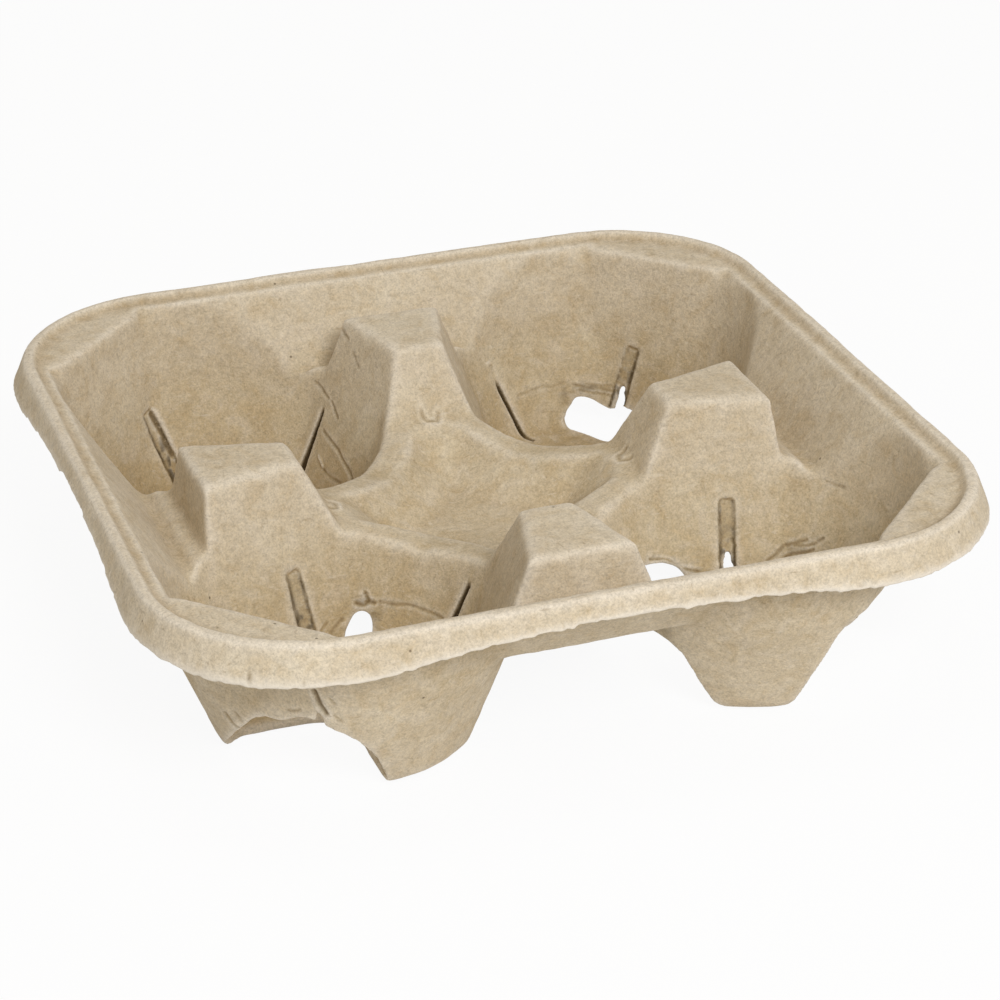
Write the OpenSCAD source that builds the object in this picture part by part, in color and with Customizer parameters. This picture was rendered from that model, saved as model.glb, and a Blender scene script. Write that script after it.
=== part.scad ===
// Four-pocket carrier tray, one moulded sheet of paper pulp.
// The sheet is the skin round one hollow form: cavity(wall) less cavity(0).
// Frame: millimetres, +Z up, origin under the tray centre on the plane of the feet.

/* [Overall] */
// height from the feet to the top of the rim
tray_h = 54; // [44:0.5:64]
// thickness of the pulp sheet
wall = 2; // [1.5:0.1:2.5]

/* [Rim] */
// half width at the outer edge of the rim bead
rim_half = 106.2; // [100:0.2:112]
// radius of the rim corners at that edge
rim_corner_r = 42; // [38:0.5:50]
// width of the rim top, bead and ledge together
rim_w = 6.8; // [6:0.1:9]
// width of the raised bead along the outer edge
bead_w = 3; // [2.6:0.1:4.5]
// radius of the outer edge of the bead
bead_r = 1.6; // [0.8:0.1:2]
// drop of the ledge inside the bead
ledge_drop = 2; // [1:0.1:2.5]
// height of the turned-down skirt at the corners
skirt_h = 9.2; // [7:0.2:11]
// rise of the skirt's lower edge at the middle of each side
skirt_rise = 3.4; // [1:0.2:4]
// outward lean of the skirt over its height
skirt_flare = 3.2; // [1:0.1:4]

/* [Cup pockets] */
// distance between the axes of neighbouring pockets
pocket_pitch = 106; // [100:0.5:112]
// pocket radius at the level of the post tops
pocket_r = 45.8; // [42:0.1:48]
// pocket radius where the taper steepens
knee_r = 40.8; // [38:0.1:44]
// height of that change of taper
knee_z = 29.5; // [24:0.5:34]
// pocket radius just above the rounded toe
foot_r = 31; // [28:0.1:34]
// radius of the toe between wall and floor
toe_r = 3; // [2:0.5:6]
// distance from the pocket axis to the flat corner panel
corner_flat = 41; // [38:0.1:44]
// distance from the pocket axis to the flat side of a post
post_flat = 44.2; // [41:0.1:45]
// angle between the corner panel and each post side
post_turn = 120.7; // [115:0.1:126]
// lean of the corner panels
corner_draft = 11; // [6:0.5:14]
// lean of the post sides
post_draft = 20; // [12:0.5:22]

/* [Posts] */
// drop of the post tops below the rim
post_drop = 3.6; // [2:0.1:6]
// distance from the tray centre to the inner edge of a post top
post_in = 50.5; // [46:0.5:56]
// distance from the tray centre to the outer edge of a post top
post_out = 77; // [72:0.5:82]
// lean of the inner face of a post
post_in_draft = 26; // [15:1:32]
// lean of the outer face of a post
post_out_draft = 5; // [2:0.5:10]

/* [Side ledges] */
// distance from the tray centre to the bottom of the groove
groove_u = 83.8; // [82:0.1:88]
// height of the groove bottom
groove_z = 32; // [28:0.5:36]
// flat width of the groove bottom
groove_w = 1.4; // [0.8:0.1:3]
// height of the step beside the groove
step_h = 2.6; // [1.5:0.1:4]
// outward lean of the riser of the step
step_lean = 2; // [1:0.1:3]
// reach of the ledges past the centres of the rim corners
ledge_over = 3.6; // [2:0.1:5]

/* [Centre well] */
// height of the well floor
well_z = 19.5; // [14:0.5:24]
// half width of the well floor along the rows of posts
well_half = 22; // [16:0.5:28]
// half width of the well at the foot of the posts
star_half = 38; // [34:0.5:42]
// height of the star points at the foot of the posts
star_z = 32.5; // [28:0.5:36]
// height of the arc ridges on the diagonals
saddle_z = 28.5; // [24:0.5:32]
// outer radius of the arc ridges about the pocket axes
ridge_r = 50; // [46:0.5:54]
// radius of the foot of the arc ridges on the well floor
ridge_foot_r = 62; // [56:0.5:66]
// lean of the upper side of the arc ridges
ridge_lean = 1.5; // [1:0.1:3]

/* [Drain openings] */
// height of the tall arch in the front right corner panel
arch_rf = 28.5; // [20:0.5:30]
// height of the leaning arch in the front left corner panel
arch_lf = 25.5; // [18:0.5:28]
// height of the low arches in the back corner panels
arch_back = 9.5; // [6:0.5:16]
// half width of the corner arches
arch_half = 22.5; // [20:0.5:25]
// shoulder radius of the tall arch
shoulder_rf = 6; // [3:0.5:8]
// shoulder radius of the leaning arch
shoulder_lf = 16; // [10:0.5:18]
// shoulder radius of the low arches
shoulder_back = 5; // [2:0.5:5.5]
// width of the sloping side of the arch in the front left panel
arch_slope = 22; // [6:0.5:24]
// inset of the front floor notches from the pocket axes
notch_front = 0; // [-2:0.5:6]
// sideways inset of the back floor notch from its pocket axis
notch_side = 3; // [1:0.5:8]
// inset of the front edge of that notch
notch_back = 17.5; // [12:0.5:22]
// extra reach of the front left notch along the front
notch_skew = 2.4; // [0:0.2:4]
// corner radius of the floor notches
notch_r = 11; // [6:0.5:14]
// half width of the opening beside the front right foot, toward the tray centre
inner_half = 13; // [8:0.5:16]
// height of the wide opening between the front right feet
wide_h = 20.5; // [14:0.5:23]
// half width of that opening
wide_half = 25.6; // [20:0.2:28]
// shoulder radius of that opening
wide_r = 3; // [1.5:0.5:6]
// height of the low openings toward the tray centre
low_h = 11.6; // [8:0.2:14]
// half width of the low openings
low_half = 4; // [3:0.2:6]
// flat width left at the crown of each low opening
low_flat = 1.2; // [0.6:0.2:3]
// floor edge of the low openings, from the pocket axis
low_from = 22; // [18:0.5:26]
// floor edge of the wide opening
wide_from = 9; // [6:0.5:14]
// floor edge of the opening toward the tray centre
inner_from = 12; // [8:0.5:16]

/* [Slots] */
// width of the pressed slots in the pocket walls
slot_w = 3.8; // [3:0.1:5]
// width of the narrow slits
slit_w = 1.2; // [0.8:0.1:2]
// sideways lean of the slots and slits
slot_lean = 14; // [0:1:18]
// height of the upper ends of the slots and slits
slot_top = 25.5; // [20:0.5:30]
// spread of a torn mouth past each side of its slot
mouth_spread = 0.6; // [0:0.1:1.2]
// depth of the slots and slits in the sheet
slot_press = 1; // [0.5:0.1:1.4]
// height of the torn mouth at the lower end of a slot in the back right pocket
mouth_rb = 14; // [10:0.2:18]
// height of the torn mouth in the front right pocket
mouth_rf = 11.4; // [6:0.2:14]
// height of the torn mouth in the front left corner panel
mouth_lf = 27.5; // [22:0.5:30]

/* [Hidden] */
$fn = 96;
pulp = [0.78, 0.70, 0.58];
big = 320;
clear = 6;
nip = 1;
top_z = tray_h + clear;
post_z = tray_h - post_drop;
ledge_z = tray_h - ledge_drop;
skirt_z = tray_h - skirt_h;
half_pitch = pocket_pitch / 2;
rim_in = rim_half - rim_w;
corner_c = rim_half - rim_corner_r;
bead_in = rim_half - bead_w;
side_lean = (rim_in - groove_u - groove_w) / (ledge_z - groove_z);
upper_lean = (pocket_r - knee_r) / (post_z - knee_z);
lower_draft = atan((knee_r - foot_r) / (knee_z - wall - toe_r));
low_r = low_half - low_flat / 2;
// slots by pocket, anticlockwise from the back right: direction, lean, width, height of the torn mouth
slots = [
    [[56, -slot_lean, slot_w, mouth_rb], [118, slot_lean, slit_w, 0], [-15, 0, slot_w, 0]],
    [[110, slot_lean, slot_w, 0], [37, -slot_lean, slit_w, 0], [255, 0, slot_w, 0]],
    [[93, slot_lean / 2, slot_w, 0], [25, -slot_lean, slit_w, 0], [-115, 0, slit_w, mouth_lf]],
    [[74.6, 0, slot_w, mouth_rf], [-63, 0, slit_w, 0]]
];
// corner arches by pocket: height, shoulder radius, width of a sloping side, inset of the floor notch
arches = [
    [[arch_back, shoulder_back, 0, [notch_side, notch_back]]],
    [],
    [[arch_lf, shoulder_lf, arch_slope, [notch_front, notch_front - notch_skew]]],
    [[arch_rf, shoulder_rf, 0, [notch_front, notch_front]]]
];
// other openings by pocket: direction, half width, height, shoulder radius, floor edge
gates = [
    [[247, low_half, low_h, low_r, low_from]],
    [[292, low_half, low_h, low_r, low_from]],
    [[67, low_half, low_h, low_r, low_from]],
    [[180, wide_half, wide_h, wide_r, wide_from], [120, inner_half, low_h, inner_half / 2, inner_from]]
];

// unit normal on the right of the step from a to b
function right_normal(a, b) = let (v = b - a) [v.y, -v.x] / norm(v);

// an open line of points moved d to its right
function shifted(line, d) =
    [for (i = [0:len(line) - 1])
        let (
            last = len(line) - 1,
            n0 = right_normal(line[max(i - 1, 0)], line[max(i, 1)]),
            n1 = right_normal(line[min(i, last - 1)], line[min(i + 1, last)])
        )
        line[i] + d * (n0 + n1) / (1 + n0 * n1)];

// a closed outline, listed anticlockwise, grown by d
function grown(shape, d) =
    [for (i = [0:len(shape) - 1])
        let (
            n = len(shape),
            n0 = right_normal(shape[(i + n - 1) % n], shape[i]),
            n1 = right_normal(shape[i], shape[(i + 1) % n])
        )
        shape[i] + d * (n0 + n1) / (1 + n0 * n1)];

// points on an arc
function arc(c, r, a0, a1, n) =
    [for (i = [0:n])
        let (a = a0 + (a1 - a0) * i / n)
        c + r * [cos(a), sin(a)]];

function backwards(line) = [for (i = [len(line) - 1:-1:0]) line[i]];

// half section of a pocket from the middle of its floor to above the rim
function pocket_line() =
    concat(
        [[0, wall]],
        arc([foot_r - toe_r * cos(lower_draft), wall + toe_r], toe_r, -90, -lower_draft, 5),
        [[knee_r, knee_z]],
        [[pocket_r + upper_lean * (top_z - post_z), top_z]]
    );

// everything within a leaning flat face, grown by d
module inside_flat(turn, r, draft, d) {
    rotate([0, 0, turn])
        translate([r, 0, post_z])
            rotate([0, draft, 0])
                translate([d - big, -big / 2, -big / 2])
                    cube(big);
}

// one cup pocket about its own axis, its corner panel toward +X +Y
module pocket(d) {
    line = shifted(pocket_line(), d);
    intersection() {
        rotate_extrude()
            polygon(concat(line, [[0, line[len(line) - 1].y]]));
        inside_flat(45, corner_flat, corner_draft, d);
        inside_flat(45 + post_turn, post_flat, post_draft, d);
        inside_flat(45 - post_turn, post_flat, post_draft, d);
    }
}

// a bar of constant section across the tray, section drawn in X and Z
module bar(length) {
    rotate([90, 0, 0])
        linear_extrude(height = length, center = true)
            children();
}

// the open space between a side wall and the outer face of its post
module side_trough(d) {
    post_lean = tan(post_out_draft);
    top = ledge_z + ledge_drop / 2;
    outline = [
        [groove_u, groove_z],
        [groove_u + groove_w, groove_z],
        [rim_in + side_lean * (top - ledge_z), top],
        [post_out - post_lean * (top - post_z), top],
        [post_out + post_lean * (post_z - groove_z - step_h), groove_z + step_h],
        [groove_u - step_lean, groove_z + step_h]
    ];
    bar(2 * (corner_c + ledge_over + d))
        polygon(grown(outline, d));
}

// the shallow recess inside the rim bead, whose floor is the ledge
module rim_recess(d) {
    z0 = ledge_z - d;
    u0 = bead_in - ledge_drop / 2 - corner_c + d;
    u1 = u0 + (top_z - z0) / 2;
    side = 2 * corner_c;
    rim_round([[0, z0], [u0, z0], [u1, top_z], [0, top_z]]);
    translate([-corner_c, -corner_c, z0])
        cube([side, side, top_z - z0]);
}

// one section carried round the rounded square, drawn outward from the centres of the rim corners
module rim_round(section) {
    for (k = [0:3])
        rotate([0, 0, 90 * k])
            translate([corner_c, 0, 0]) {
                bar(2 * corner_c)
                    polygon(section);
                translate([0, corner_c, 0])
                    rotate_extrude(angle = 90)
                        polygon(section);
            }
}

// the space over the post tops
module post_level(d) {
    side = 2 * (post_out + nip + d);
    translate([-side / 2, -side / 2, post_z - d])
        cube([side, side, top_z - post_z + d]);
}

// the space between the inner faces of the posts, down to the arc ridges
module centre_space(d) {
    lean = tan(post_in_draft);
    face = grown([
        [-post_in + lean * post_z, 0],
        [post_in - lean * post_z, 0],
        [post_in + lean * clear, post_z + clear],
        [-post_in - lean * clear, post_z + clear]
    ], d);
    reach = star_half + clear;
    rise = (star_z - saddle_z) / (star_half * sqrt(0.5));
    valley = grown([
        [0, saddle_z],
        [reach, saddle_z + rise * reach],
        [reach, top_z],
        [-reach, top_z],
        [-reach, saddle_z + rise * reach]
    ], d);
    intersection() {
        bar(big)
            polygon(face);
        rotate([0, 0, 90])
            bar(big)
                polygon(face);
        for (a = [45, 135])
            rotate([0, 0, a])
                bar(2 * post_in)
                    polygon(valley);
    }
}

// the arc ridge round one pocket, as a full ring of which the centre shows a quarter
module ridge_ring(d) {
    outline = grown([
        [0, well_z - clear],
        [ridge_foot_r + clear * (ridge_foot_r - ridge_r) / (saddle_z - well_z), well_z - clear],
        [ridge_r, saddle_z],
        [ridge_r - ridge_lean, star_z + clear],
        [0, star_z + clear]
    ], -d);
    rotate_extrude()
        polygon([for (p = outline) [max(p.x, 0), p.y]]);
}

// the four-pointed well in the middle of the tray
module star_well(d) {
    lean = (star_half - well_half) / (star_z - well_z);
    outline = grown([
        [-well_half, well_z],
        [well_half, well_z],
        [star_half + lean * nip, star_z + nip],
        [-star_half - lean * nip, star_z + nip]
    ], d);
    difference() {
        intersection() {
            bar(big)
                polygon(outline);
            rotate([0, 0, 90])
                bar(big)
                    polygon(outline);
        }
        for (k = [0:3])
            rotate([0, 0, 90 * k])
                translate([half_pitch, half_pitch, 0])
                    ridge_ring(d);
    }
}

// the whole hollow above the sheet, grown by d
module cavity(d) {
    rim_recess(d);
    post_level(d);
    centre_space(d);
    star_well(d);
    for (k = [0:3])
        rotate([0, 0, 90 * k]) {
            side_trough(d);
            translate([half_pitch, half_pitch, 0])
                pocket(d);
        }
}

// the rim top with its skirt, one section carried round the rounded square
module rim() {
    hem = [rim_corner_r + skirt_flare, skirt_z];
    lip = [rim_corner_r - rim_w, tray_h];
    outer = concat([hem], arc([rim_corner_r - bead_r, tray_h - bead_r], bead_r, 0, 90, 3), [lip]);
    inner = shifted([hem, [rim_corner_r, tray_h], lip], -wall);
    difference() {
        rim_round(concat(outer, backwards(inner)));
        for (k = [0:3])
            rotate([0, 0, 90 * k])
                skirt_arc();
    }
}

// the long low arc that lifts the skirt's lower edge along one side
module skirt_arc() {
    half = corner_c - clear;
    r = (half * half + skirt_rise * skirt_rise) / (2 * skirt_rise);
    intersection() {
        translate([bead_in, 0, skirt_z + skirt_rise - r])
            rotate([0, 90, 0])
                cylinder(r = r, h = bead_w + 2 * skirt_flare, $fn = 720);
        translate([bead_in, -corner_c, skirt_z - nip])
            cube([bead_w + 2 * skirt_flare, 2 * corner_c, skirt_h]);
    }
}

// outline of an arch with round shoulders, or with its right side sloped over a given width
function arch_outline(half, h, r, slope) =
    concat(
        [[-half, -nip]],
        slope > 0
            ? [[half - wall, -nip], [half - wall, wall + nip], [half - slope, h]]
            : concat([[half, -nip]], arc([half - r, h - r], r, 0, 90, 6)),
        arc([r - half, h - r], r, 90, 180, 6)
    );

// an arch cut outward from the pocket axis in one direction
module arch_cut(turn, half, h, r, slope, from) {
    rotate([0, 0, turn - 90])
        translate([0, (from + pocket_r) / 2, 0])
            bar(pocket_r - from)
                polygon(arch_outline(half, h, r, slope));
}

// the arch through a corner panel, over a notch in the pocket floor
module corner_opening(h, r, slope, inset) {
    reach = pocket_r + clear;
    notch = concat(
        arc(inset + [notch_r, notch_r], notch_r, 180, 270, 5),
        [[reach, inset.y], [reach, reach], [inset.x, reach]]
    );
    intersection() {
        translate([0, 0, -nip])
            linear_extrude(height = h + 2 * nip)
                polygon(notch);
        arch_cut(45, arch_half, h, r, slope, 0);
    }
}

// a slot pressed into a pocket wall, torn through at its lower end where it has a mouth
module slot(turn, lean, w, mouth) {
    middle = slot_top / 2;
    reach = pocket_r - foot_r;
    intersection() {
        pocket(slot_press);
        rotate([0, 0, turn])
            translate([foot_r - toe_r, 0, middle])
                rotate([-lean, 0, 0])
                    translate([0, -w / 2, -slot_top])
                        cube([reach, w, slot_top + middle]);
    }
    if (mouth > 0)
        rotate([0, 0, turn])
            translate([foot_r + reach / 2, 0, middle])
                rotate([-lean, 0, 0])
                    rotate([0, 0, -90])
                        bar(reach + 2 * toe_r)
                            polygon([
                                [-slot_w / 2 - mouth_spread, -slot_top],
                                [slot_w / 2 + mouth_spread, -slot_top],
                                [slit_w / 2, mouth - middle],
                                [-slit_w / 2, mouth - middle]
                            ]);
}

module carrier_tray() {
    color(pulp)
        difference() {
            union() {
                intersection() {
                    cavity(wall);
                    translate([-big / 2, -big / 2, -nip])
                        cube([big, big, tray_h]);
                }
                rim();
            }
            cavity(0);
            for (k = [0:3])
                rotate([0, 0, 90 * k])
                    translate([half_pitch, half_pitch, 0]) {
                        for (a = arches[k])
                            corner_opening(a[0], a[1], a[2], a[3]);
                        for (g = gates[k])
                            arch_cut(g[0] - 90 * k, g[1], g[2], g[3], 0, g[4]);
                        for (s = slots[k])
                            slot(s[0] - 90 * k, s[1], s[2], s[3]);
                    }
        }
}

carrier_tray();
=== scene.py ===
"""A moulded pulp cup carrier on a white floor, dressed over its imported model."""
import math

import bmesh
import bpy
import numpy as np
from mathutils import Matrix, Vector


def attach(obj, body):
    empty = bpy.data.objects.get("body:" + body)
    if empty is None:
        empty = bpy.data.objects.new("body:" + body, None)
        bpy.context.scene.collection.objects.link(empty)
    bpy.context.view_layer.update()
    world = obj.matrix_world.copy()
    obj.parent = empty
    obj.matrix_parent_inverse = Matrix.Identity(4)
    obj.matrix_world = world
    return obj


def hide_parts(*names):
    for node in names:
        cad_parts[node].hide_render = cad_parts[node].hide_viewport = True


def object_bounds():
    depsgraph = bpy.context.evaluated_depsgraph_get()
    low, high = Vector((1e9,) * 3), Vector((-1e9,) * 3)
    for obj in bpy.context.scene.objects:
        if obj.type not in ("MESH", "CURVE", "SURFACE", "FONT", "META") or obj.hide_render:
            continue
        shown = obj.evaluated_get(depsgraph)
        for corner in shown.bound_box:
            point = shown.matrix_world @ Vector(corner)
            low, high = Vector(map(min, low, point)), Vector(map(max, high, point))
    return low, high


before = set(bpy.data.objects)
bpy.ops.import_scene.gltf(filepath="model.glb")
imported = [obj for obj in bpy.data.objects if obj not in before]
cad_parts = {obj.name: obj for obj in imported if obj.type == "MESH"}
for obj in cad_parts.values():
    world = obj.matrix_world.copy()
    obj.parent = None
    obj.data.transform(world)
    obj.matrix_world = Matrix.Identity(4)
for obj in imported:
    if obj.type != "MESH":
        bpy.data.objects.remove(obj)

CAD_LOW, CAD_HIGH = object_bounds()
MM = 0.001
NODE = "carrier_tray"

# Sizes shared with the solid model, in millimetres.
HALF_PITCH = 53.0
CORNER_C = 64.2
CORNER_R = 42.0
SKIRT_BOTTOM = 44.8
SKIRT_RISE = 3.4
SKIRT_HALF = 58.2
SLOT_TOP = 25.5
WALL_R = 35.0
POCKETS = {"rb": (1, 1), "lb": (-1, 1), "lf": (-1, -1), "rf": (1, -1)}

# Slots pressed into the pocket walls: pocket, direction and lean in degrees, width at the top
# and the foot, and the height that still shows.
SLOTS = [
    ("rb", 56, -14, 3.8, 3.8, 25.5),
    ("rb", 118, 14, 0.9, 1.2, 19.0),
    ("rb", -15, 0, 3.8, 3.8, 25.5),
    ("lb", 110, 14, 3.8, 3.8, 25.5),
    ("lb", 37, -14, 0.8, 2.8, 25.5),
    ("lb", 255, 0, 3.8, 3.8, 25.5),
    ("lf", 93, 7, 3.8, 3.8, 25.5),
    ("lf", 25, -14, 1.2, 1.6, 25.5),
    ("lf", -115, 0, 1.2, 1.2, 25.5),
    ("rf", 74.6, 0, 3.8, 3.8, 25.5),
    ("rf", -63, 0, 1.2, 1.2, 25.5),
]

# Wrinkles in the pocket walls: pocket, half width, depth, then points, each a direction in degrees
# and a height.
WRINKLES = [
    ("lb", 0.50, 0.24, [(31, 47.0), (26, 45.5)]),
    ("lb", 0.45, 0.18, [(21, 43.0), (15, 40.5)]),
    ("lb", 0.45, 0.24, [(40, 30.5), (30, 28.5)]),
    ("lb", 0.45, 0.26, [(27, 28.0), (20, 25.5)]),
    ("lb", 0.50, 0.28, [(28, 20.0), (14, 18.0), (-3, 14.5), (-10, 11.5)]),
    ("lb", 0.45, 0.20, [(21, 10.5), (12, 10.0), (2, 10.5)]),
    ("lb", 0.50, -0.30, [(27, 13.0), (21, 11.0)]),
    ("lb", 0.75, 0.55, [(112.2, 23.8), (110.1, 20.2), (109.1, 17.0), (107.9, 14.0), (106.6, 11.3)]),
    ("rb", 0.40, 0.12, [(111, 13.2), (96, 13.7), (84, 14.0)]),
    ("rb", 0.40, 0.26, [(80, 13.6), (74, 12.4), (66, 11.6), (58, 11.2)]),
    ("rb", 0.40, 0.24, [(77, 11.9), (71, 10.8), (60, 10.0)]),
    ("rb", 0.40, 0.20, [(74, 13.4), (67, 12.6), (60, 12.3)]),
    ("lf", 0.50, 0.40, [(69, 14.2), (66, 14.0), (64, 15.2), (65, 16.6)]),
    ("lf", 0.45, 0.32, [(65, 14.8), (61, 14.5)]),
    ("lf", 0.42, 0.22, [(59, 14.8), (48, 15.1), (41, 15.0), (29, 14.4)]),
    ("lf", 0.45, 0.20, [(80, 8.0), (75, 10.8)]),
    ("lf", 0.45, 0.18, [(87, 8.5), (82, 10.5)]),
    ("rf", 0.45, 0.28, [(55, 9.6), (48, 13.2), (39, 15.9)]),
    ("rf", 0.40, 0.24, [(44, 13.6), (35, 15.4), (31, 17.0)]),
    ("rf", 0.45, 0.30, [(49, 9.6), (40, 12.2), (35, 14.0)]),
    ("rf", 0.50, 0.30, [(112, 12.4), (103, 10.6), (98, 8.4), (90, 7.4)]),
    ("rf", 0.45, 0.24, [(106, 9.4), (99, 7.0), (92, 6.2)]),
    ("rf", 0.40, 0.16, [(36, 31.4), (27, 31.0)]),
]

# Wrinkles on the outside of the front left foot, given in the same way.
OUTER_WRINKLES = [
    ("lf", 0.60, 0.55, [(-115.6, 34.0), (-114.3, 30.3), (-112.5, 27.6)]),
    ("lf", 0.45, 0.20, [(-125.8, 26.4), (-123.4, 26.6), (-121.0, 27.6)]),
    ("lf", 0.40, 0.20, [(-110.9, 32.6), (-109.2, 31.3)]),
    ("lf", 0.40, 0.16, [(-109.8, 27.6), (-107.6, 25.0)]),
    ("lf", 0.45, 0.24, [(-153.0, 20.2), (-151.0, 17.4), (-149.0, 16.0)]),
    ("lf", 0.40, 0.18, [(-149.5, 21.0), (-147.0, 18.6)]),
]

# Brown, fibrous patches by the cuts: pocket, direction, height, half length, half height
# and darkness.
SCARS = [
    ("rb", 73, 11.4, 8.0, 2.0, 0.85),
    ("rb", 85, 10.0, 1.4, 3.4, 0.70),
    ("lf", 66, 14.0, 3.0, 2.6, 0.60),
    ("lf", 61, 11.0, 1.5, 1.6, 0.80),
    ("rf", 42, 12.0, 6.5, 2.6, 0.50),
    ("rf", 107, 9.4, 6.0, 1.8, 0.65),
    ("rf", 92, 6.6, 6.0, 2.0, 0.45),
]

# Places where the sheet is drawn past the cut line: pocket, direction, height, half length,
# half height, then the move along the wall and the move up.
PULLS = [
    ("rb", 61, 9.5, 5.5, 4.6, 0.0, -4.0),
    ("rb", 85, 9.0, 2.5, 3.0, -1.5, -1.5),
    ("rb", 46, 9.5, 4.5, 5.0, 0.0, -4.0),
    ("lf", 59, 5.0, 3.2, 9.0, 1.8, 0.0),
    ("lf", -132, 25.0, 5.6, 6.0, 0.0, -3.6),
    ("lf", 75, 11.0, 3.0, 4.0, -1.4, 0.0),
    ("rf", 110, 9.0, 5.5, 4.0, 0.0, -2.2),
    ("rf", 72.5, 3.0, 1.6, 6.0, -0.9, 0.0),
]

# How far the floor of the back right foot is drawn out under the hole there.
FLOOR_REACH = 3.4

# The bracket-shaped mould mark at the foot of each post: distance from the centre and offset
# to the side.
FOOT_MARK = [(42.2, 2.2), (39.6, 1.4), (39.2, -1.2), (41.6, -2.4)]

# Nicks in the hem of the skirt: places on the floor plan.
NICKS = [(-89.0, -101.0), (-78.0, -107.0), (37.0, -108.5)]

# Small measures of the forms pressed or torn into the sheet, in millimetres or as shares.
FAR = 1e3
SLOT_WALL = (26, 47)
POCKET_REACH = 48
MARK_LOW = 25
WIDEST_SLIT = 2.0
NEAR_SLOT = 6.0
SLOT_SOFT = 0.3
SLOT_EDGE = 0.42
SLIT_DEPTH = 0.7
SLIT_REFILL = 0.3
WRINKLE_BANK = 0.3
WRINKLE_SHADE = 1.1
WRINKLE_DARKEST = 0.6
SCAR_RELIEF = 0.22
NICK_DEPTH = 0.35
NICK_SHADE = 0.40

# Slow waves and lumps of the sheet: height, size and seed.
WAVES = [(0.22, 21.0, 1), (0.13, 7.0, 2), (0.08, 2.6, 3)]

# Colours of the pulp by place in its clouds, and the light of the studio.
PULP_TONES = [(0.30, "B7A583"), (0.52, "C5B597"), (0.72, "CFC2A7")]
FLOOR_GLOW = 0.93
AMBIENT = 0.47
AMBIENT_TINT = (1.0, 0.935, 0.83, 1)
AIM = (0, 0, 0.02)
KEY_AT = (0.08, -1.2, 0.98)
KEY_TINT = (0.98, 0.99, 1.02)
KEY_POWER = 12.9
TOP_AT = (-0.1, 0.1, 1.55)
TOP_POWER = 1.8
LAMP_SIZE = 0.6


# Noise on a lattice of hashed values, the same on every run.
HASH_X, HASH_Y, HASH_Z, HASH_SEED, HASH_LAST = 374761393, 668265263, 2147483647, 1274126177, 2246822519
WORD = 0xFFFFFFFF
LOW_BITS = 0xFFFFFF


def hashed(ix, iy, iz, seed):
    """A value from -1 to 1 for each corner of the lattice."""
    h = (ix * HASH_X + iy * HASH_Y + iz * HASH_Z + seed * HASH_SEED) & WORD
    h = ((h ^ (h >> 13)) * HASH_SEED) & WORD
    h = ((h ^ (h >> 16)) * HASH_LAST) & WORD
    return ((h ^ (h >> 15)) & LOW_BITS) / float(LOW_BITS) * 2.0 - 1.0


def noise(points, size, seed):
    q = points / size
    base = np.floor(q).astype(np.int64)
    f = q - base
    f = f * f * f * (f * (f * 6 - 15) + 10)
    out = np.zeros(len(points))
    for corner in range(8):
        dx, dy, dz = corner & 1, (corner >> 1) & 1, (corner >> 2) & 1
        w = (f[:, 0] if dx else 1 - f[:, 0])
        w = w * (f[:, 1] if dy else 1 - f[:, 1])
        w = w * (f[:, 2] if dz else 1 - f[:, 2])
        out += w * hashed(base[:, 0] + dx, base[:, 1] + dy, base[:, 2] + dz, seed)
    return out


def smoothstep(lo, hi, x):
    t = np.clip((x - lo) / (hi - lo), 0.0, 1.0)
    return t * t * (3 - 2 * t)


def hump(distance, width):
    return np.exp(-(distance / width) ** 2)


# Mesh helpers.
def mesh_arrays(mesh):
    verts = np.empty(len(mesh.vertices) * 3)
    mesh.vertices.foreach_get("co", verts)
    edges = np.empty(len(mesh.edges) * 2, dtype=np.int64)
    mesh.edges.foreach_get("vertices", edges)
    return verts.reshape(-1, 3), edges.reshape(-1, 2)


def vertex_normals(mesh):
    normals = np.empty(len(mesh.vertices) * 3)
    mesh.vertex_normals.foreach_get("vector", normals)
    return normals.reshape(-1, 3)


def move_vertices(mesh, p):
    mesh.vertices.foreach_set("co", (p * MM).ravel())
    mesh.update()


class Ring:
    """Averages over the neighbours of every vertex."""

    def __init__(self, edges, count):
        self.a = np.concatenate([edges[:, 0], edges[:, 1]])
        self.b = np.concatenate([edges[:, 1], edges[:, 0]])
        self.count = count
        self.degree = np.maximum(np.bincount(self.a, minlength=count), 1)

    def mean(self, values):
        width = values.shape[1]
        columns = [np.bincount(self.a, values[self.b, i], self.count) for i in range(width)]
        return np.stack(columns, 1) / self.degree[:, None]

    def blurred(self, values, rounds):
        for _ in range(rounds):
            values = 0.5 * values + 0.5 * self.mean(values)
        return values


def evaluated_copy(obj):
    graph = bpy.context.evaluated_depsgraph_get()
    return bpy.data.meshes.new_from_object(obj.evaluated_get(graph))


# Places on the tray, in millimetres.
def about_pocket(p, pocket):
    sx, sy = POCKETS[pocket]
    return p[:, 0] - sx * HALF_PITCH, p[:, 1] - sy * HALF_PITCH


def across_slot(p, pocket, turn, lean):
    """Sideways distance from a slot's centre line, large where the slot has no wall."""
    dx, dy = about_pocket(p, pocket)
    c, s = math.cos(math.radians(turn)), math.sin(math.radians(turn))
    along = dx * c + dy * s
    across = dy * c - dx * s - (p[:, 2] - SLOT_TOP / 2) * math.tan(math.radians(lean))
    wall = (along > SLOT_WALL[0]) & (along < SLOT_WALL[1]) & (p[:, 2] < SLOT_TOP + 2)
    return np.where(wall, across, FAR)


def path_distance(u, v, points):
    best = np.full(len(u), FAR)
    for (u0, v0), (u1, v1) in zip(points, points[1:]):
        du, dv = u1 - u0, v1 - v0
        t = np.clip(((u - u0) * du + (v - v0) * dv) / (du * du + dv * dv), 0, 1)
        best = np.minimum(best, np.hypot(u - u0 - t * du, v - v0 - t * dv))
    return best


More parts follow.
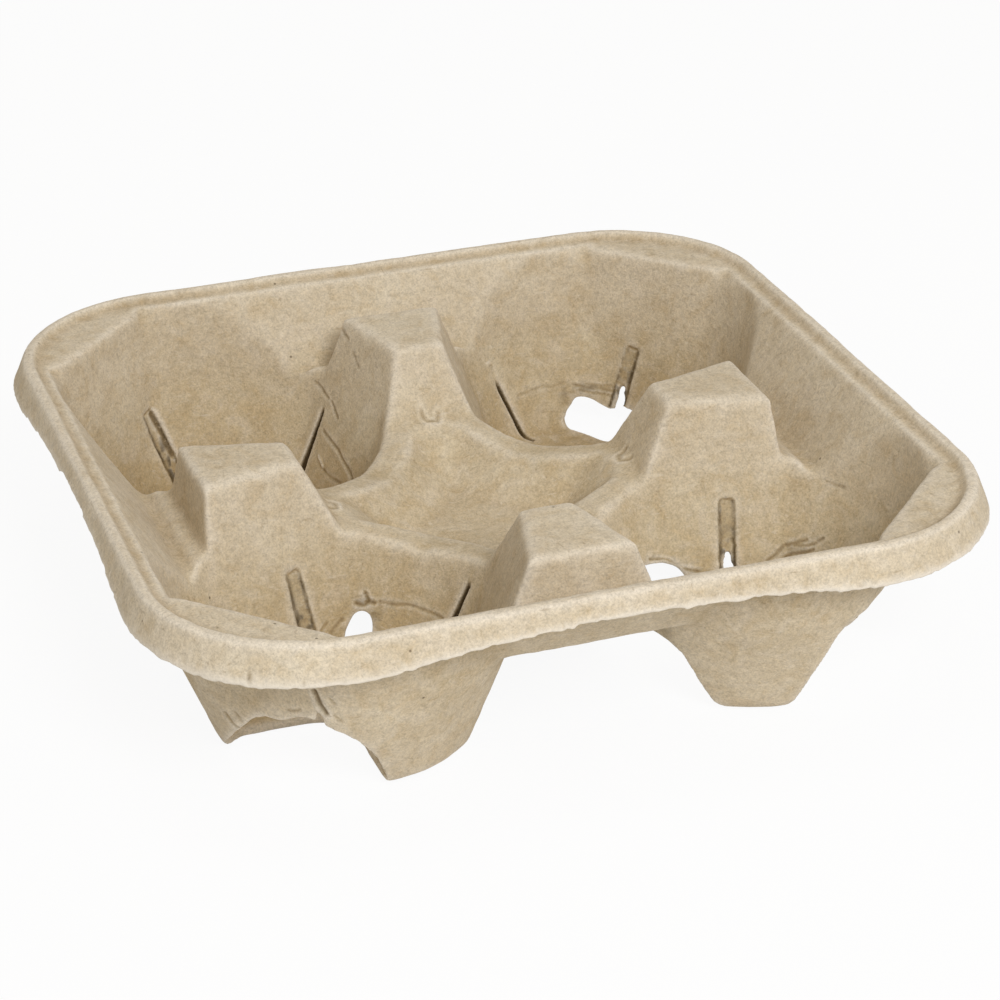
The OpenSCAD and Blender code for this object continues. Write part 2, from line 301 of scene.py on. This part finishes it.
def rim_reach(p):
    """Distance outward from the square of the rim corner centres."""
    past = np.maximum(np.abs(p[:, :2]) - CORNER_C, 0)
    return np.hypot(past[:, 0], past[:, 1])


def hem_height(p):
    """Height of the skirt's lower edge, which rises in an arc along each side."""
    v = np.minimum(np.minimum(np.abs(p[:, 0]), np.abs(p[:, 1])), SKIRT_HALF)
    r = (SKIRT_HALF ** 2 + SKIRT_RISE ** 2) / (2 * SKIRT_RISE)
    return SKIRT_BOTTOM + np.sqrt(r * r - v * v) - (r - SKIRT_RISE)


# Small forms of the sheet: each gives a lift along the normal and a darkness, painted shade for slots,
# slits and wrinkles.
def on_wall(p, pocket, turn):
    """Length along a pocket wall from a direction, far away off the wall."""
    dx, dy = about_pocket(p, pocket)
    angle = (np.degrees(np.arctan2(dy, dx)) - turn + 180) % 360 - 180
    return np.where(np.hypot(dx, dy) < POCKET_REACH, np.radians(angle) * WALL_R, FAR)


def pulled(p):
    for pocket, turn, height, length, rise, along, up in PULLS:
        u = on_wall(p, pocket, turn)
        dx, dy = about_pocket(p, pocket)
        r = np.maximum(np.hypot(dx, dy), 1.0)
        share = hump(u, length) * hump(p[:, 2] - height, rise) * smoothstep(20, 27, r)
        p = p + share[:, None] * np.stack([-along * dy / r, along * dx / r, np.full(len(p), up)], 1)
    return p


def reached_floor(p):
    """Draws the floor of the back right foot further out under the hole there."""
    dx, dy = about_pocket(p, "rb")
    r = np.maximum(np.hypot(dx, dy), 1.0)
    turn = np.degrees(np.arctan2(dy, dx))
    share = smoothstep(88, 82, turn) * smoothstep(58, 80, turn)
    share = share * smoothstep(10, 19, r) * smoothstep(5.0, 3.0, p[:, 2]) * (r < 34)
    return p + FLOOR_REACH * share[:, None] * np.stack([dx / r, dy / r, np.zeros(len(p))], 1)


def wide_slot(a, z, w, patchy, fray):
    """A pressed slot: as pale as the wall at the top, with brown edges lower down; their dark is
    partly fibre from the tear and partly painted shade of the groove.
    """
    low = np.clip(1 - z / SLOT_TOP, 0, 1)
    off = np.hypot(np.maximum(z - SLOT_TOP + w / 2, 0), a)
    inside = smoothstep(w / 2 + SLOT_SOFT, w / 2 - SLOT_SOFT, off)
    edge = hump(off - w / 2, SLOT_EDGE)
    blotch = 0.75 * smoothstep(0.0, 0.5, patchy) * smoothstep(0.05, 0.6, low)
    # Painted shade along the slot's edges, partly brown fibre.
    shade = edge * np.clip(0.55 + 0.55 * low + 0.35 * fray, 0, 1)
    shade = np.maximum(shade, inside * (0.08 + blotch))
    lift = inside * (0.38 + 0.3 * patchy * (0.3 + low)) - 0.25 * edge * (0.4 + low)
    return lift, shade


def slit(a, z, w, top):
    """A thin slit painted dark as shade, filled again above the height that shows."""
    open_part = smoothstep(top + 1.2, top - 2.5, z) * smoothstep(0.8, 2.6, z)
    inside = smoothstep(w / 2 + 0.3, w / 2 - 0.2, a) * smoothstep(SLOT_TOP + 0.6, SLOT_TOP - 0.3, z)
    refill = SLIT_REFILL * hump(a, 1.2) * (1 - open_part) * (z < SLOT_TOP) * (z > 3)
    return refill - SLIT_DEPTH * inside * open_part, inside * open_part


def slot_forms(p):
    lift, dark = np.zeros(len(p)), np.zeros(len(p))
    patchy = noise(p, 1.5, 21)
    for pocket, turn, lean, top_w, foot_w, top in SLOTS:
        a = np.abs(across_slot(p, pocket, turn, lean))
        near = a < NEAR_SLOT
        z, a = p[near, 2], a[near]
        w = top_w + (foot_w - top_w) * np.clip(1 - z / SLOT_TOP, 0, 1)
        if top_w > WIDEST_SLIT:
            fray = noise(p[near], 3.1, 22)
            ragged = a + 0.16 * noise(p[near], 1.5, 23)
            more, shade = wide_slot(ragged, z, top_w, patchy[near], fray)
        else:
            more, shade = slit(a, z, w, top)
        lift[near] += more
        dark[near] = np.maximum(dark[near], np.clip(shade, 0, 1))
    return lift, dark


def wrinkle_forms(p, wrinkles=WRINKLES):
    lift, dark = np.zeros(len(p)), np.zeros(len(p))
    sway = 0.35 * noise(p, 3.5, 31)
    for pocket, width, depth, points in wrinkles:
        first = points[0][0]
        path = [(math.radians(a - first) * WALL_R, z) for a, z in points]
        d = path_distance(on_wall(p, pocket, first) + sway, p[:, 2] + sway, path)
        lift += -depth * hump(d, width) + WRINKLE_BANK * depth * hump(d - 1.8 * width, width)
        # Painted shade along the groove of the wrinkle.
        shade = min(max(WRINKLE_SHADE * depth, 0), WRINKLE_DARKEST)
        dark = np.maximum(dark, shade * hump(d, 0.9 * width))
    return lift, dark


def scar_forms(p):
    lift, dark = np.zeros(len(p)), np.zeros(len(p))
    for pocket, turn, height, length, rise, strength in SCARS:
        u = on_wall(p, pocket, turn)
        near = np.abs(u) < 2.5 * length
        v = p[near, 2] - height
        share = hump(u[near], length) * hump(v, rise)
        sheet = np.stack([u[near] * 0.22, v + 0.25 * np.sin(u[near] * 0.5), np.zeros(len(v))], 1)
        streak = 0.6 * noise(sheet, 1.0, 41) + 0.5 * noise(sheet, 0.6, 42)
        lift[near] += SCAR_RELIEF * streak * share
        shade = strength * share * np.clip(0.28 - 0.55 * streak, 0, 1)
        dark[near] = np.maximum(dark[near], shade)
    return lift, dark


def mark_forms(p):
    lift, dark = np.zeros(len(p)), np.zeros(len(p))
    x, y = p[:, 0], p[:, 1]
    for u, v in ((x, y), (y, -x), (-x, -y), (-y, x)):
        d = np.where(p[:, 2] > MARK_LOW, path_distance(u, v, FOOT_MARK), FAR)
        lift += -0.22 * hump(d, 0.55) + 0.14 * hump(d - 1.2, 0.6)
        dark = np.maximum(dark, 0.16 * hump(d, 0.5))
    drop = p[:, 2] - hem_height(p)
    for nick_x, nick_y in NICKS:
        d = np.hypot(x - nick_x, y - nick_y)
        d = np.where(rim_reach(p) > CORNER_R - 0.5, d, FAR) / smoothstep(5.0, 3.0, drop).clip(0.02)
        lift -= NICK_DEPTH * hump(d, 0.50)
        dark = np.maximum(dark, NICK_SHADE * hump(d, 0.42))
    return lift, dark


# The tray: the solid's own surface, remeshed finely, with soft moulded edges and an uneven
# pulp face. Rounds count the passes of smoothing, and heights are in millimetres.
VOXEL = 0.5
SOFTEN_ROUNDS = 18
UPPER_ROUNDS = 28
EDGE_ROUNDS = 16
FEET_TOP = 17.0
FEET_ROUNDS = 60
TRIANGLES = 192000.0
KEEP_FACTOR = 0.00001
TURN_ROUNDS = 10
SHARP_TURN = 0.35
RIM_BAND = 8.0
RIM_LOW = 40.0
FOOT_LOW = 8.0
HELD_SLOT = 2.8
STEP = 0.5
KEEP_LEVELS = 20
HEM_BAND = 3.2
SAG_AT = 93
SAG_WIDTH = 22.0
SAG = 0.6
FRAY_MOVE = 0.18
FRAY_SIZE = 1.4
FRAY_SEED = 6


def remeshed_solid():
    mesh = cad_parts[NODE].data.copy()
    bm = bmesh.new()
    bm.from_mesh(mesh)
    bmesh.ops.remove_doubles(bm, verts=bm.verts, dist=1e-6)
    bm.to_mesh(mesh)
    bm.free()
    work = bpy.data.objects.new("tray_work", mesh)
    bpy.context.scene.collection.objects.link(work)
    remesh = work.modifiers.new("remesh", "REMESH")
    remesh.mode = "VOXEL"
    remesh.voxel_size = VOXEL * MM
    fine = evaluated_copy(work)
    work.modifiers.clear()
    work.data = fine
    return work


def thinned(work, keep):
    """A lighter copy that keeps most of its vertices where keep is high."""
    group = work.vertex_groups.new(name="keep")
    levels = np.round(np.clip(1 - keep, 0.02, 1) * KEEP_LEVELS).astype(int)
    for level in np.unique(levels):
        weight = max(level, 0.4) / KEEP_LEVELS
        group.add(np.nonzero(levels == level)[0].tolist(), weight, "REPLACE")
    thin = work.modifiers.new("decimate", "DECIMATE")
    thin.vertex_group = group.name
    thin.vertex_group_factor = KEEP_FACTOR
    work.data.calc_loop_triangles()
    thin.ratio = TRIANGLES / len(work.data.loop_triangles)
    return evaluated_copy(work)


def rounded_feet(p, edges):
    """Rounds the arches and tips of the feet, then lets the feet down to the floor again."""
    low = p[:, 2] < FEET_TOP
    index = np.cumsum(low) - 1
    both = low[edges].all(axis=1)
    ring = Ring(index[edges[both]], int(low.sum()))
    q = p[low]
    share = smoothstep(FEET_TOP - 1.0, FEET_TOP - 6.0, q[:, 2])[:, None]
    for _ in range(FEET_ROUNDS):
        q = q + 0.60 * share * (ring.mean(q) - q)
        q = q - 0.58 * share * (ring.mean(q) - q)
    q[:, 2] -= q[:, 2].min() * smoothstep(9.0, 1.0, q[:, 2])
    p = p.copy()
    p[low] = q
    return p


def softened(p, edges, ring, turned):
    """Rounds the moulded edges more than the cut ones, then moves a few cut edges."""
    ease = np.clip((turned - SHARP_TURN) / SHARP_TURN, 0.1, 1.0)
    rim = (rim_reach(p) > CORNER_R - RIM_BAND) & (p[:, 2] > RIM_LOW)
    ease = np.where(rim, 0.6 * ease, ease)
    ease = np.where(p[:, 2] < FOOT_LOW, np.maximum(ease, 0.5), ease)
    for pocket, turn, lean, top_w, _, _ in SLOTS:
        held = (np.abs(across_slot(p, pocket, turn, lean)) < HELD_SLOT) & (p[:, 2] > FOOT_LOW)
        ease = np.where(held, 0.2 if top_w > WIDEST_SLIT else 1.0, ease)
    for _ in range(SOFTEN_ROUNDS):
        p = p + STEP * ease[:, None] * (ring.mean(p) - p)

    # Posts, ledges and ridges are rounder than the rim and the feet.
    inner = ease * smoothstep(24, 30, p[:, 2])
    inner = inner * smoothstep(CORNER_R - 6, CORNER_R - 9, rim_reach(p))
    for _ in range(UPPER_ROUNDS):
        p = p + STEP * inner[:, None] * (ring.mean(p) - p)
    return reached_floor(pulled(rounded_feet(p, edges)))


def small_forms(p, upper):
    """Slots, wrinkles, scars and marks of the upper face, and a few wrinkles outside; the darkness in
    slots, slits and wrinkles is painted shade.
    """
    lift, torn = np.zeros(len(p)), np.zeros(len(p))
    for forms in (slot_forms, wrinkle_forms, scar_forms, mark_forms):
        more, dark = forms(p)
        lift += more * upper
        torn = np.maximum(torn, dark * upper)
    more, dark = wrinkle_forms(p, OUTER_WRINKLES)
    lift += more * (1 - upper)
    torn = np.maximum(torn, dark * (1 - upper))
    return lift, torn


def ragged_hem(p):
    """Frays the hem of the skirt, which hangs a little deeper at the front left corner."""
    hem = smoothstep(HEM_BAND, 0.0, p[:, 2] - hem_height(p)) * (rim_reach(p) > CORNER_R - 1.5)
    flat = p * np.array([1.0, 1.0, 0.0])
    sag = hump(np.hypot(p[:, 0] + SAG_AT, p[:, 1] + SAG_AT), SAG_WIDTH)
    p = p.copy()
    p[:, 2] += hem * (0.28 * noise(flat, 6.5, 4) + 0.24 * noise(flat, 1.4, 5) - SAG * sag)
    return p, hem


def in_cad_box(p):
    return np.clip(p, np.array(CAD_LOW) / MM, np.array(CAD_HIGH) / MM)


def paint_layers(p, n, bend, upper, hem, torn):
    """Painted highlights on ridges, painted shade in creases and low down, painted light higher up,
    and the other shades that the material reads.
    """
    reach = rim_reach(p)
    # Painted light: the skirt, upper parts, the centre and outward faces below are lightened.
    skirt = smoothstep(CORNER_R - 5, CORNER_R, reach) * upper
    # Painted highlight along the crest of the rim.
    crest_highlight = hump(reach - CORNER_R + 0.8, 1.0) * smoothstep(52.0, 53.3, p[:, 2]) * upper
    upper_light = smoothstep(18, 44, p[:, 2]) * upper
    upper_light = np.maximum(upper_light, 0.7 * hump(np.hypot(p[:, 0], p[:, 1]), 30.0) * upper)
    away = (n[:, :2] * p[:, :2]).sum(1) / np.maximum(np.hypot(p[:, 0], p[:, 1]), 1.0)
    outside = (1 - upper) * smoothstep(0.0, 0.5, away)
    return {
        # Painted highlight on convex ridges and the rim crest.
        "ridge_highlight": np.maximum(np.clip(-bend / 0.18, 0, 1), crest_highlight),
        # Painted shade in concave creases.
        "hollow": np.clip(bend / 0.30, 0, 1),
        # Painted shade of slits, slots and wrinkles, with the dark of scars and marks.
        "torn": torn,
        "hem": hem * smoothstep(1.9, 0.3, p[:, 2] - hem_height(p)),
        # Painted light on the skirt, upper parts, the centre and outward faces below.
        "pale": np.maximum(np.maximum(0.75 * upper_light, 0.70 * skirt), 0.45 * outside),
        # Painted shade lower down, except on outward faces.
        "depth_shade": smoothstep(30, 5, p[:, 2]) * (1 - outside),
    }


def pulp_tray():
    work = remeshed_solid()
    fine = work.data
    verts, edges = mesh_arrays(fine)
    ring = Ring(edges, len(verts))

    # A cut edge turns right round within a few millimetres, so its averaged normal is short.
    turned = np.linalg.norm(ring.blurred(vertex_normals(fine), TURN_ROUNDS), axis=1)
    frayed = smoothstep(0.6, SHARP_TURN, turned)
    p = softened(verts / MM, edges, ring, turned)
    move_vertices(fine, p)
    n = vertex_normals(fine)
    upper = smoothstep(-0.15, 0.1, n[:, 2])

    # The small forms, then slow waves, a fine lumpy face, frayed cut edges and the hem.
    lift, torn = small_forms(p, upper)
    detail = np.clip(torn * 2.5 + np.abs(lift) * 2.5, 0, 1)
    lift += sum(height * noise(p, size, seed) for height, size, seed in WAVES)
    p = p + n * lift[:, None]
    for axis in range(3):
        p[:, axis] += frayed * FRAY_MOVE * noise(p, FRAY_SIZE, FRAY_SEED + axis)
    p, hem = ragged_hem(p)
    p = in_cad_box(p)
    move_vertices(fine, p)

    bend = ((ring.blurred(p, EDGE_ROUNDS) - p) * vertex_normals(fine)).sum(1)
    for name, values in paint_layers(p, n, bend, upper, hem, torn).items():
        layer = fine.attributes.new(name, "FLOAT", "POINT")
        layer.data.foreach_set("value", values.astype(np.float32))

    keep = np.maximum(0.3 * upper, np.maximum(0.98 * detail, 0.5 * np.maximum(frayed, hem)))
    final = thinned(work, keep)
    bpy.data.objects.remove(work)
    final.name = "pulp_tray"
    thin_verts, _ = mesh_arrays(final)
    move_vertices(final, in_cad_box(thin_verts / MM))
    final.shade_smooth()
    tray = bpy.data.objects.new("pulp_tray", final)
    bpy.context.scene.collection.objects.link(tray)
    return tray


# Materials.
class Nodes:
    """Short ways to add and join shader nodes."""

    def __init__(self, name):
        self.material = bpy.data.materials.new(name)
        self.material.use_nodes = True
        self.tree = self.material.node_tree
        self.tree.nodes.clear()

    def add(self, kind, **values):
        node = self.tree.nodes.new(kind)
        for key, value in values.items():
            setattr(node, key, value)
        return node

    def link(self, a, b):
        self.tree.links.new(a, b)

    def fill(self, socket, value):
        if hasattr(value, "is_output"):
            self.link(value, socket)
        else:
            socket.default_value = value

    def noise(self, coords, scale, detail, rough=0.5, distortion=0.0):
        node = self.add("ShaderNodeTexNoise")
        node.inputs["Scale"].default_value = scale
        node.inputs["Detail"].default_value = detail
        node.inputs["Roughness"].default_value = rough
        node.inputs["Distortion"].default_value = distortion
        self.link(coords, node.inputs["Vector"])
        return node.outputs["Fac"]

    def stretched(self, coords, scale, turn):
        node = self.add("ShaderNodeMapping")
        node.inputs["Scale"].default_value = scale
        node.inputs["Rotation"].default_value = turn
        self.link(coords, node.inputs["Vector"])
        return node.outputs["Vector"]

    def ramp(self, fac, stops):
        node = self.add("ShaderNodeValToRGB")
        while len(node.color_ramp.elements) < len(stops):
            node.color_ramp.elements.new(0.5)
        for element, (at, colour) in zip(node.color_ramp.elements, stops):
            element.position = at
            element.color = (*colour, 1.0)
        self.link(fac, node.inputs["Fac"])
        return node.outputs["Color"]

    def mix(self, fac, a, b, blend="MIX"):
        node = self.add("ShaderNodeMix", data_type="RGBA", blend_type=blend)
        self.fill(node.inputs["Factor"], fac)
        self.fill(node.inputs[6], a)
        self.fill(node.inputs[7], b)
        return node.outputs[2]

    def math(self, operation, a, b):
        node = self.add("ShaderNodeMath", operation=operation)
        self.fill(node.inputs[0], a)
        self.fill(node.inputs[1], b)
        return node.outputs[0]

    def paint(self, name):
        return self.add("ShaderNodeAttribute", attribute_name=name).outputs["Fac"]


def grey(v):
    return (v, v, v)


def linear(hex_colour):
    out = []
    for i in (0, 2, 4):
        c = int(hex_colour[i:i + 2], 16) / 255.0
        out.append(c / 12.92 if c <= 0.04045 else ((c + 0.055) / 1.055) ** 2.4)
    return tuple(out)


def tint(hex_colour):
    return (*linear(hex_colour), 1.0)


def specks(k, coords, scale, small, large, share):
    """Dots in a share of the cells of a scattered pattern, with radii given in cells."""
    cells = k.add("ShaderNodeTexVoronoi", feature="F1")
    cells.inputs["Scale"].default_value = scale
    k.link(coords, cells.inputs["Vector"])
    picked = k.add("ShaderNodeSeparateColor")
    k.link(cells.outputs["Color"], picked.inputs[0])
    rare = k.ramp(picked.outputs[0], [(share, grey(1.0)), (share + 0.02, grey(0.0))])
    dot = k.ramp(cells.outputs["Distance"], [(small, grey(1.0)), (large, grey(0.0))])
    return k.math("MULTIPLY", dot, rare)


def washed(k, colour, mask, share, tone, blend="MIX"):
    """Mixes a tone into a colour by a share of a mask."""
    return k.mix(k.math("MULTIPLY", mask, share), colour, tint(tone), blend)


def pulp_material():
    k = Nodes("pulp")
    coords = k.add("ShaderNodeTexCoord").outputs["Object"]
    lengthwise = k.stretched(coords, (1.0, 0.22, 1.0), (0.5, 0.3, 0.6))
    crosswise = k.stretched(coords, (0.22, 1.0, 1.0), (-0.4, 0.2, -0.5))

    clouds = k.noise(coords, 34.0, 3.0, 0.55, 0.3)
    mottle = k.noise(coords, 760.0, 3.0, 0.6, 0.4)
    grain = k.noise(coords, 1900.0, 3.0, 0.65)
    fibre_a = k.noise(lengthwise, 1100.0, 2.0, 0.5, 0.6)
    fibre_b = k.noise(crosswise, 1100.0, 2.0, 0.5, 0.6)
    hairs = k.math("MAXIMUM", fibre_a, fibre_b)
    pits = k.math("MINIMUM", fibre_a, fibre_b)

    # The colour by clouds, painted light and shade by height, stains, and painted highlights and shade
    # at ridges and creases.
    colour = k.ramp(clouds, [(at, linear(tone)) for at, tone in PULP_TONES])
    # Painted light: the skirt, upper parts, the centre and outward faces below are lightened.
    colour = washed(k, colour, k.paint("pale"), 0.62, "DCD0BC")
    # Painted shade: the lower parts are browner.
    colour = washed(k, colour, k.paint("depth_shade"), 0.42, "B0976A")
    stains = k.noise(coords, 150.0, 4.0, 0.6, 0.8)
    brown = k.ramp(stains, [(0.50, grey(0.0)), (0.68, grey(1.0))])
    colour = washed(k, colour, brown, 0.30, "B39868")
    light = k.ramp(stains, [(0.33, grey(1.0)), (0.47, grey(0.0))])
    colour = washed(k, colour, light, 0.25, "DED3C2")
    # Painted highlight: convex ridges and the rim crest are lightened.
    colour = washed(k, colour, k.paint("ridge_highlight"), 0.65, "E6DDCE")
    # Painted shade: concave creases are darkened.
    colour = washed(k, colour, k.paint("hollow"), 0.55, "B79F72", "MULTIPLY")

    # Grain, pale hairs and dark pits.
    soft = k.ramp(mottle, [(0.34, grey(0.86)), (0.50, grey(1.0)), (0.67, grey(1.10))])
    colour = k.mix(0.8, colour, soft, "MULTIPLY")
    fine = k.ramp(grain, [(0.33, grey(0.80)), (0.5, grey(1.0)), (0.69, grey(1.15))])
    colour = k.mix(0.85, colour, fine, "MULTIPLY")
    pale = k.ramp(hairs, [(0.62, grey(0.0)), (0.76, grey(1.0))])
    colour = washed(k, colour, pale, 0.30, "E6DCCB")
    dark = k.ramp(pits, [(0.24, grey(1.0)), (0.34, grey(0.0))])
    colour = washed(k, colour, dark, 0.34, "8A7350")

    # Specks, tears with painted shade in slits, slots and wrinkles, and the pale hem.
    round_specks = specks(k, coords, 150.0, 0.03, 0.07, 0.20)
    long_specks = specks(k, lengthwise, 95.0, 0.012, 0.035, 0.22)
    fleck = k.math("MAXIMUM", round_specks, long_specks)
    colour = washed(k, colour, fleck, 0.7, "4A3A26")
    # Painted shade in slits, slots and wrinkles, with the dark of tears, scars and marks.
    colour = washed(k, colour, k.paint("torn"), 0.95, "3A2C14")
    colour = washed(k, colour, k.paint("hem"), 0.7, "EAE2D4")

    # A matt face with a fine relief.
    shader = k.add("ShaderNodeBsdfPrincipled")
    shader.inputs["Specular IOR Level"].default_value = 0.2
    shader.inputs["Sheen Weight"].default_value = 0.06
    k.link(colour, shader.inputs["Base Color"])
    k.link(k.ramp(mottle, [(0.2, grey(0.86)), (0.8, grey(0.98))]), shader.inputs["Roughness"])
    relief = k.math("ADD", k.math("MULTIPLY", mottle, 0.9), k.math("MULTIPLY", grain, 0.5))
    relief = k.math("ADD", relief, k.math("MULTIPLY", hairs, 0.5))
    bump = k.add("ShaderNodeBump")
    bump.inputs["Strength"].default_value = 0.6
    bump.inputs["Distance"].default_value = 0.0003
    k.link(relief, bump.inputs["Height"])
    k.link(bump.outputs["Normal"], shader.inputs["Normal"])
    out = k.add("ShaderNodeOutputMaterial")
    k.link(shader.outputs[0], out.inputs["Surface"])
    return k.material


def floor_material():
    k = Nodes("floor_white")
    coords = k.add("ShaderNodeTexCoord").outputs["Object"]
    tone = k.ramp(k.noise(coords, 3.0, 2.0), [(0.3, grey(0.86)), (0.7, grey(0.88))])
    diffuse = k.add("ShaderNodeBsdfDiffuse")
    k.link(tone, diffuse.inputs["Color"])
    glow = k.add("ShaderNodeEmission")
    glow.inputs["Color"].default_value = (1, 1, 1, 1)
    glow.inputs["Strength"].default_value = 1.0
    faint = k.add("ShaderNodeMixShader")
    faint.inputs["Fac"].default_value = FLOOR_GLOW
    k.link(diffuse.outputs[0], faint.inputs[1])
    k.link(glow.outputs[0], faint.inputs[2])
    path = k.add("ShaderNodeLightPath")
    seen = k.math("MAXIMUM", path.outputs["Is Camera Ray"], path.outputs["Is Glossy Ray"])
    seen = k.math("MAXIMUM", seen, path.outputs["Is Transmission Ray"])
    pick = k.add("ShaderNodeMixShader")
    k.link(seen, pick.inputs["Fac"])
    k.link(diffuse.outputs[0], pick.inputs[1])
    k.link(faint.outputs[0], pick.inputs[2])
    out = k.add("ShaderNodeOutputMaterial")
    k.link(pick.outputs[0], out.inputs["Surface"])
    return k.material


# Stage: floor, world, lamps and camera.
def make_floor():
    size = 6.0
    mesh = bpy.data.meshes.new("floor")
    corners = [(-size, -size, 0), (size, -size, 0), (size, size, 0), (-size, size, 0)]
    mesh.from_pydata(corners, [], [(0, 1, 2, 3)])
    floor = bpy.data.objects.new("floor", mesh)
    bpy.context.scene.collection.objects.link(floor)
    mesh.materials.append(floor_material())


def make_world():
    world = bpy.data.worlds.new("studio")
    bpy.context.scene.world = world
    world.use_nodes = True
    tree = world.node_tree
    tree.nodes.clear()
    ambient = tree.nodes.new("ShaderNodeBackground")
    ambient.inputs["Color"].default_value = AMBIENT_TINT
    ambient.inputs["Strength"].default_value = AMBIENT
    white = tree.nodes.new("ShaderNodeBackground")
    white.inputs["Color"].default_value = (1, 1, 1, 1)
    white.inputs["Strength"].default_value = 1.0
    path = tree.nodes.new("ShaderNodeLightPath")
    pick = tree.nodes.new("ShaderNodeMixShader")
    out = tree.nodes.new("ShaderNodeOutputWorld")
    tree.links.new(path.outputs["Is Camera Ray"], pick.inputs["Fac"])
    tree.links.new(ambient.outputs[0], pick.inputs[1])
    tree.links.new(white.outputs[0], pick.inputs[2])
    tree.links.new(pick.outputs[0], out.inputs["Surface"])


def area_lamp(name, at, power, colour=(1, 1, 1)):
    data = bpy.data.lights.new(name, "AREA")
    data.shape = "DISK"
    data.size = LAMP_SIZE
    data.energy = power
    data.color = colour
    lamp = bpy.data.objects.new(name, data)
    lamp.location = at
    lamp.rotation_mode = "QUATERNION"
    lamp.rotation_quaternion = (Vector(AIM) - Vector(at)).to_track_quat("-Z", "Y")
    bpy.context.scene.collection.objects.link(lamp)


def make_camera():
    """The photo's camera, fitted to the rim and the corners of the post tops."""
    eye = Vector((-0.22323, -0.66329, 0.38338))
    right = Vector((0.94363, -0.33089, -0.00984))
    up = Vector((0.15845, 0.42536, 0.89106))
    back = Vector((-0.29065, -0.84237, 0.45380))
    data = bpy.data.cameras.new("camera")
    data.sensor_fit = "HORIZONTAL"
    data.sensor_width = 36.0
    data.lens = 107.35
    data.clip_start, data.clip_end = 0.01, 50.0
    camera = bpy.data.objects.new("camera", data)
    axes = Matrix((right, up, back)).transposed().to_4x4()
    camera.matrix_world = Matrix.Translation(eye) @ axes
    bpy.context.scene.collection.objects.link(camera)
    bpy.context.scene.camera = camera


tray = pulp_tray()
tray.data.materials.clear()
tray.data.materials.append(pulp_material())
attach(tray, "root")
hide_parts(NODE)

make_floor()
make_world()
area_lamp("key", KEY_AT, KEY_POWER, KEY_TINT)
area_lamp("top", TOP_AT, TOP_POWER)
make_camera()
bpy.context.scene.view_settings.view_transform = "Standard"
